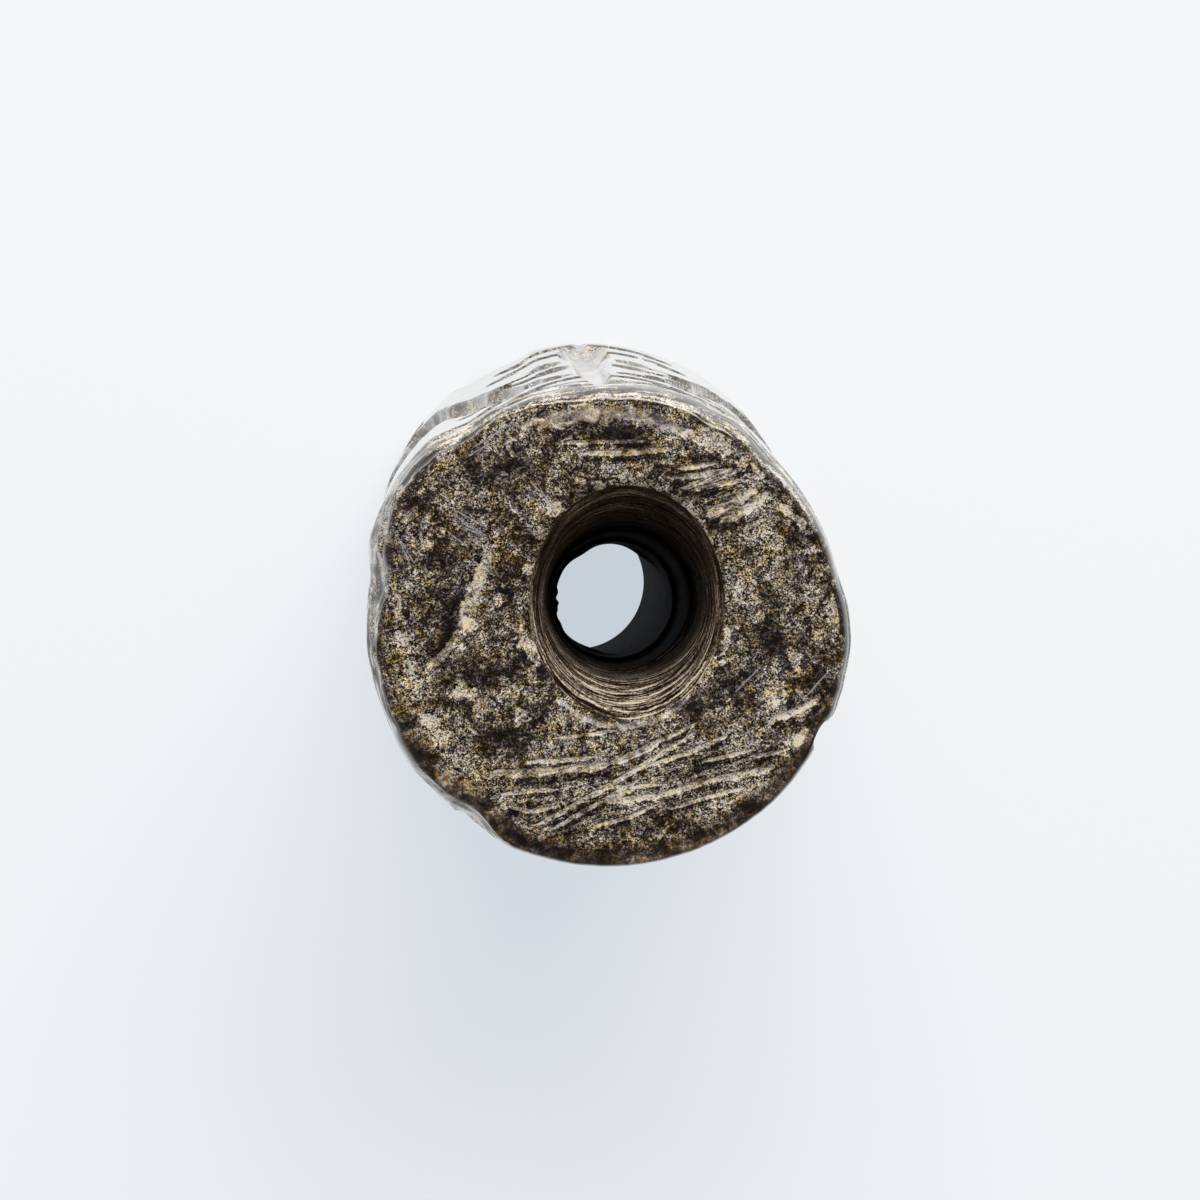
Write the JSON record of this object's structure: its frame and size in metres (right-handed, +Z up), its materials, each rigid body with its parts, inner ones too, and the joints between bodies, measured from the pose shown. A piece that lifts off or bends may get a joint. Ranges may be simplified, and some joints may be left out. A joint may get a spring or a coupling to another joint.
{
  "type": "cylinder seal",
  "caption": "Drum of dark veined stone bored end to end, its wall engraved with a frieze of goats and trees to be rolled out in clay.",
  "frame": {"origin": "middle of the lower end, the face that the seal stands on, where the drum's own axis meets it", "axes": "+Z up along the drum's axis to the pictured end, +X to the right and +Y to the top of the picture"},
  "size_m": [0.022, 0.022, 0.035],
  "materials": {
    "stone": "polished dark brown stone with ochre and cream speckle, worn and scratched"
  },
  "bodies": {
    "root": {"seal": "stone"}
  },
  "joints": []
}
